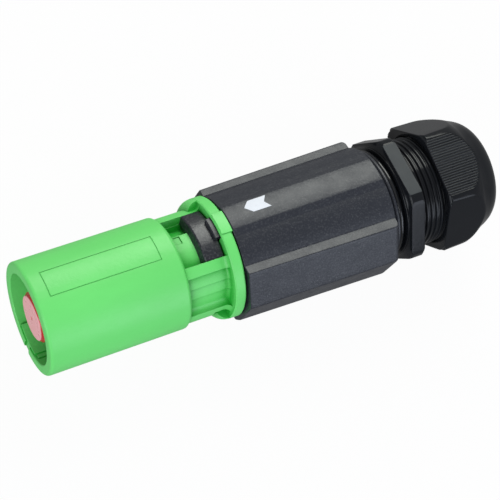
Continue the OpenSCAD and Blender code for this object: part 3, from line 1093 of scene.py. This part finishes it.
@dataclass(frozen=True)
class MouldedPlastic(Finish):
    """Injection moulded plastic with a fine spark-eroded grain and slight flow marks.

    Attributes:
        shade: how much darker the flow marks are.
        roughness: lowest and highest roughness.
        grain: height of the grain, in metres.
        specular: specular level.
        edge: width of the soft edges, in metres.
        speck: how much lighter the fine specks of the surface are.
        pad: display colour of a bare etched pad, marked on the piece.
        crest: display colour painted along the rib crests as a highlight, marked on the piece.
        face: display colour painted on the end that faces the mouth as a highlight.
        face_at: stations between which that colour comes in, in mm.
        peel: height of the slight orange peel, in metres.
        painted_shade: darker display colour painted in corners and pockets as shade, where light bounces
            between the same plastic.
    """

    shade: float = 0.06
    roughness: tuple[float, float] = (0.42, 0.52)
    grain: float = 0.000012
    specular: float = 0.5
    edge: float = 0.0003
    speck: float = 0.0
    pad: Triple | None = None
    crest: Triple | None = None
    face: Triple | None = None
    face_at: tuple[float, float] = (2.1, 1.8)
    peel: float = 0.000012
    painted_shade: Triple | None = None

    def material(self) -> Material:
        """Builds the material.

        Returns:
            The new material.
        """
        bench = FinishBench(self.name)
        base = linear(self.colour)
        dark = tuple(c * (1.0 - self.shade) for c in base)
        colour = bench.blend(bench.span(bench.noise(Pattern.FLOW_MARKS)), base, dark)
        rough = bench.span(bench.noise(Pattern.MOULD_GLOSS), *self.roughness)
        # Painted shade: where the ambient occlusion mask finds walls close by, the colour goes towards the
        # darker shade colour.
        if self.painted_shade is not None:
            closed = bench.between(bench.openness(reach=0.012), start=0.95, end=0.55)
            colour = bench.blend(closed, colour, linear(self.painted_shade))
        if self.speck > 0.0:
            specks = bench.between(bench.noise(Pattern.SPECKS), start=0.5, end=0.72)
            colour = bench.blend(specks, colour, tuple(c + self.speck for c in base))
        if self.pad is not None:
            marked, dullness = bench.attribute("bare_pad"), 0.3
            colour = bench.blend(marked, colour, linear(self.pad))
            rough = bench.compute("MULTIPLY_ADD", marked, dullness, rough)
        # Painted highlight: the end facing the mouth is painted pale.
        if self.face is not None:
            colour = bench.blend(bench.before(*self.face_at), colour, linear(self.face))
        # Painted highlight along the marked rib crests.
        if self.crest is not None:
            colour = bench.blend(bench.attribute("rib_crest_highlight"), colour, linear(self.crest))
        bench.give(Socket.COLOUR, colour)
        bench.give(Socket.ROUGHNESS, rough)
        bench.give(Socket.SPECULAR, self.specular)
        heights = [(bench.noise(Pattern.WAVES), self.grain * 4.0), (bench.noise(Pattern.PEEL), self.peel),
                   (bench.noise(Pattern.FINE_GRAIN), self.grain)]
        bench.emboss(heights, bench.rounded(self.edge) if self.edge > 0.0 else None)
        return bench.material


@dataclass(frozen=True)
class PrintInk(Finish):
    """Matte printing ink, worn in a few specks.

    Attributes:
        worn: display colour where the ink is thin.
        roughness: lowest and highest roughness.
        grain: height of the grain, in metres.
    """

    worn: Triple = (178, 182, 190)
    roughness: tuple[float, float] = (0.5, 0.65)
    grain: float = 0.00001

    def material(self) -> Material:
        """Builds the material.

        Returns:
            The new material.
        """
        bench = FinishBench(self.name)
        specks = bench.between(bench.noise(Pattern.INK_WEAR), start=0.68, end=0.86)
        bench.give(Socket.COLOUR, bench.blend(specks, linear(self.colour), linear(self.worn)))
        bench.give(Socket.ROUGHNESS, bench.span(bench.noise(Pattern.INK_GLOSS), *self.roughness))
        bench.emboss([(bench.noise(Pattern.FINE_GRAIN), self.grain)])
        return bench.material


@dataclass(frozen=True)
class TurnedMetal(Finish):
    """Metal turned on a lathe: fine rings across the axis.

    Attributes:
        roughness: lowest and highest roughness.
        rings: height of the tool marks, in metres.
        tarnished: share of the colour that is left where the metal is tarnished.
    """

    roughness: tuple[float, float] = (0.2, 0.34)
    rings: float = 0.000006
    tarnished: float = 0.86

    def material(self) -> Material:
        """Builds the material.

        Returns:
            The new material.
        """
        bench = FinishBench(self.name)
        base = linear(self.colour)
        dark = tuple(c * self.tarnished for c in base)
        bench.give(Socket.COLOUR, bench.blend(bench.span(bench.noise(Pattern.TARNISH)), base, dark))
        marks = bench.noise(Pattern.TOOL_MARKS)
        bench.give(Socket.ROUGHNESS, bench.span(marks, *self.roughness))
        bench.give(Socket.METALLIC, 1.0)
        bench.emboss([(marks, self.rings)])
        return bench.material


@dataclass(frozen=True)
class SealRubber(Finish):
    """Moulded rubber with a faint bloom.

    Attributes:
        roughness: lowest and highest roughness.
        bloom: factor on the colour and what is added to it where the rubber blooms.
        grain: height of the grain, in metres.
    """

    roughness: tuple[float, float] = (0.3, 0.45)
    bloom: tuple[float, float] = (1.35, 0.002)
    grain: float = 0.00001

    def material(self) -> Material:
        """Builds the material.

        Returns:
            The new material.
        """
        bench = FinishBench(self.name)
        base = linear(self.colour)
        factor, added = self.bloom
        pale = tuple(min(1.0, c * factor + added) for c in base)
        bench.give(Socket.COLOUR, bench.blend(bench.span(bench.noise(Pattern.BLOOM)), base, pale))
        bench.give(Socket.ROUGHNESS, bench.span(bench.noise(Pattern.RUBBER_GLOSS), *self.roughness))
        bench.emboss([(bench.noise(Pattern.RUBBER_GRAIN), self.grain)])
        return bench.material


@dataclass(frozen=True)
class Finishes:
    """Every finish of the connector, by the name of its part."""

    # The green's painted shade colour darkens its corners and pockets.
    green: Finish = MouldedPlastic("green_shroud_plastic", (112, 226, 117), 0.1, (0.34, 0.44), 0.00002, 0.4,
                                   edge=0.0004, peel=0.00008, painted_shade=(30, 168, 48))
    grip: Finish = MouldedPlastic("black_grip_plastic", (38, 41, 50), 0.12, (0.34, 0.44), 0.00003, 0.43,
                                  edge=0.0, speck=0.03, peel=0.00007)
    latch: Finish = MouldedPlastic("black_latch_plastic", (33, 35, 43), 0.2, (0.26, 0.4), 0.00003, 0.5,
                                   edge=0.0002, speck=0.05, peel=0.00006)
    # The gland's rib crests are painted lighter as a highlight.
    gland: Finish = MouldedPlastic("black_gland_plastic", (24, 26, 30), 0.1, (0.12, 0.2), 0.000006, 0.2,
                                   edge=0.0, pad=(56, 60, 63), crest=(48, 51, 55))
    # The cap's end facing the mouth is painted pale as a highlight.
    cap: Finish = MouldedPlastic("red_cap_plastic", (208, 44, 48), 0.06, (0.22, 0.32), 0.00001, 0.5,
                                 edge=0.00015, face=(255, 182, 184))
    ink: Finish = PrintInk("white_arrow_ink", (226, 230, 240))
    silver: Finish = TurnedMetal("silver_plated_contact", (214, 214, 218))
    steel: Finish = TurnedMetal("zinc_plated_steel", (168, 171, 176), (0.26, 0.4))
    rubber: Finish = SealRubber("seal_rubber", (22, 24, 26))
    gasket: Finish = SealRubber("gasket_rubber", (12, 14, 18), (0.1, 0.18))

    def dress(self, nodes: dict[str, Object]) -> None:
        """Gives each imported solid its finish.

        Args:
            nodes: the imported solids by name.
        """
        sets = {
            self.green: ("front_insulator",),
            self.grip: ("handle", "inner_sleeve"),
            self.latch: ("locking_latch",),
            self.gland: ("gland_body", "dome_nut"),
            self.cap: ("contact_cap",),
            self.silver: ("contact_pin",),
            self.steel: ("contact_washer", "contact_circlip", "latch_spring", "clamp_screw_1",
                         "clamp_screw_2", "handle_screw_1", "handle_screw_2"),
            self.rubber: ("mating_seal", "contact_seal", "sleeve_seal", "gland_seal"),
            self.gasket: ("gland_gasket",),
        }
        for finish, names in sets.items():
            for name in names:
                for slot in nodes[name].material_slots:
                    slot.material = finish.shared()
                log.info("%s finished in %s", name, finish.name)


def fit(piece: Object, finish: Finish, node: str | None = None) -> None:
    """Fits a new piece: finish, body, slot and the node that it stands for.

    Args:
        piece: the new piece.
        finish: its finish.
        node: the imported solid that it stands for, if any.
    """
    piece.data.materials.append(finish.shared())
    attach(piece, BODY)
    if node is not None:
        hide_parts(node)
    log.info("%s built: %d faces", piece.name, len(piece.data.polygons))


@dataclass(frozen=True)
class Lamp:
    """A flat lamp that faces the connector.

    Attributes:
        name: the lamp's name.
        spot: its place in metres.
        size: its two sides in metres.
        power: watts.
        colour: linear colour of the light.
        aim: the place it faces.
    """

    name: str
    spot: Triple
    size: tuple[float, float]
    power: float
    colour: Triple
    aim: Triple = (0.0, 0.0, 0.03)

    def hang(self) -> None:
        """Hangs the lamp in the scene."""
        data = bpy.data.lights.new(self.name, "AREA")
        data.shape = "RECTANGLE"
        data.size, data.size_y = self.size
        data.energy = self.power
        data.color = self.colour
        nearly_y = (0.0, 1.0, 0.001)
        back = np.subtract(self.spot, self.aim)
        back /= np.linalg.norm(back)
        side = np.cross(nearly_y, back)
        side /= np.linalg.norm(side)
        stand(self.name, data, self.spot, side, np.cross(back, side))


@dataclass(frozen=True)
class Studio:
    """Pale floor, soft lamps and the camera.

    Attributes:
        spot: the camera's place in metres.
        right: the camera's right vector in the row frame.
        up: the camera's up vector in the row frame.
        lens: focal length on a 36 mm sensor.
        floor_size: half width of the floor in metres.
        floor_colour: linear colour of the floor where it takes the light.
        floor_white: how much of the floor is seen as plain white; the rest takes the shadow.
        white: strength of that white to the camera.
        white_mirrored: its strength in reflections.
        sky: strength of the world as a light.
        sky_seen: strength of the world to the camera.
        lamps: the lamps.
    """

    spot: Triple = (-0.268365, -0.148436, 0.717905)
    right: Triple = (0.888061, -0.381259, 0.256883)
    up: Triple = (0.29944, 0.903695, 0.306056)
    lens: float = 122.4864
    floor_size: float = 2.5
    floor_colour: Triple = (0.45, 0.45, 0.46)
    floor_white: float = 0.93
    white: float = 1.03
    white_mirrored: float = 0.3
    sky: float = 0.4
    sky_seen: float = 1.0
    lamps: tuple[Lamp, ...] = (
        Lamp("key", (0.38, 0.72, 0.69), (0.6, 0.75), 8.0, (0.97, 1.0, 0.94)),
        Lamp("side_fill", (0.35, -0.95, 0.4), (0.7, 0.7), 4.0, (0.84, 0.92, 1.06)),
        Lamp("mouth_fill", (-0.85, -0.5, 0.48), (0.7, 0.7), 6.0, (0.92, 0.98, 1.03)),
    )

    def camera(self) -> None:
        """Sets the camera where the photograph was taken from."""
        data = bpy.data.cameras.new("photo_camera")
        data.lens = self.lens
        data.sensor_width = 36.0
        data.clip_start = 0.05
        data.clip_end = 20.0
        bpy.context.scene.camera = stand("photo_camera", data, self.spot, self.right, self.up)

    def floor_finish(self) -> Material:
        """Builds the floor's finish: pale, seen as white, and still taking the shadow.

        Returns:
            The new material.
        """
        bench = FinishBench("studio_floor")
        bench.give(Socket.COLOUR, (*self.floor_colour, 1.0))
        bench.give(Socket.ROUGHNESS, 0.9)
        bench.give(Socket.SPECULAR, 0.1)
        ray = bench.add("LightPath").outputs
        glossy = ray["Is Glossy Ray"]
        strength = bench.compute("MULTIPLY_ADD", glossy, self.white_mirrored - self.white, self.white)
        emission = bench.add("Emission", ("Color", WHITE), ("Strength", strength))
        clear = bench.compute("MAXIMUM", bench.compute("MAXIMUM", ray["Is Camera Ray"], glossy),
                              ray["Is Transmission Ray"])
        mix = bench.add("MixShader", (0, bench.compute("MULTIPLY", clear, self.floor_white)),
                        (1, bench.shader.outputs[0]), (2, emission.outputs[0]))
        bench.feed(mix.outputs[0], bench.output.inputs[0])
        return bench.material

    def floor(self) -> None:
        """Lays the floor under the connector."""
        half = self.floor_size
        corners = half * np.array([(-1.0, -1.0, 0.0), (1.0, -1.0, 0.0), (1.0, 1.0, 0.0), (-1.0, 1.0, 0.0)])
        floor = solid("studio_floor", corners, np.array([(0, 1, 2, 3)]), smooth=False)
        floor.data.materials.append(self.floor_finish())

    def world(self) -> None:
        """Sets the world's light: white, and stronger to the camera than to the connector."""
        world = bpy.data.worlds.new("studio")
        world.use_nodes = True
        bench = NodeBench(world.node_tree)
        sky = world.node_tree.nodes["Background"]
        ray = bench.add("LightPath").outputs
        seen = bench.compute("MAXIMUM", ray["Is Camera Ray"], ray["Is Transmission Ray"])
        bench.feed(WHITE, sky.inputs["Color"])
        bench.feed(bench.between(seen, 0.0, 1.0, self.sky, self.sky_seen), sky.inputs["Strength"])
        bpy.context.scene.world = world

    def build(self) -> None:
        """Builds camera, floor and light."""
        self.camera()
        self.floor()
        for lamp in self.lamps:
            lamp.hang()
        self.world()
        bpy.context.scene.view_settings.view_transform = "Standard"
        log.info("studio set")


def main() -> None:
    """Dresses the connector."""
    logging.basicConfig(level=logging.INFO, format="%(name)s: %(message)s")
    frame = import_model()
    Studio().build()
    finishes = Finishes()
    finishes.dress(frame["nodes"])
    handle = GripHandle()
    fit(handle.build(), finishes.grip, "handle")
    fit(handle.print_arrow(), finishes.ink)
    gland = CableGland()
    fit(gland.body(), finishes.gland, "gland_body")
    fit(gland.fingers(), finishes.gland, "gland_body")
    fit(gland.dome_nut(), finishes.gland, "dome_nut")
    spring = ReturnSpring()
    coil = spring.build()
    fit(coil, finishes.steel, "latch_spring")
    spring.shorten(coil)


if __name__ == "__main__":
    main()
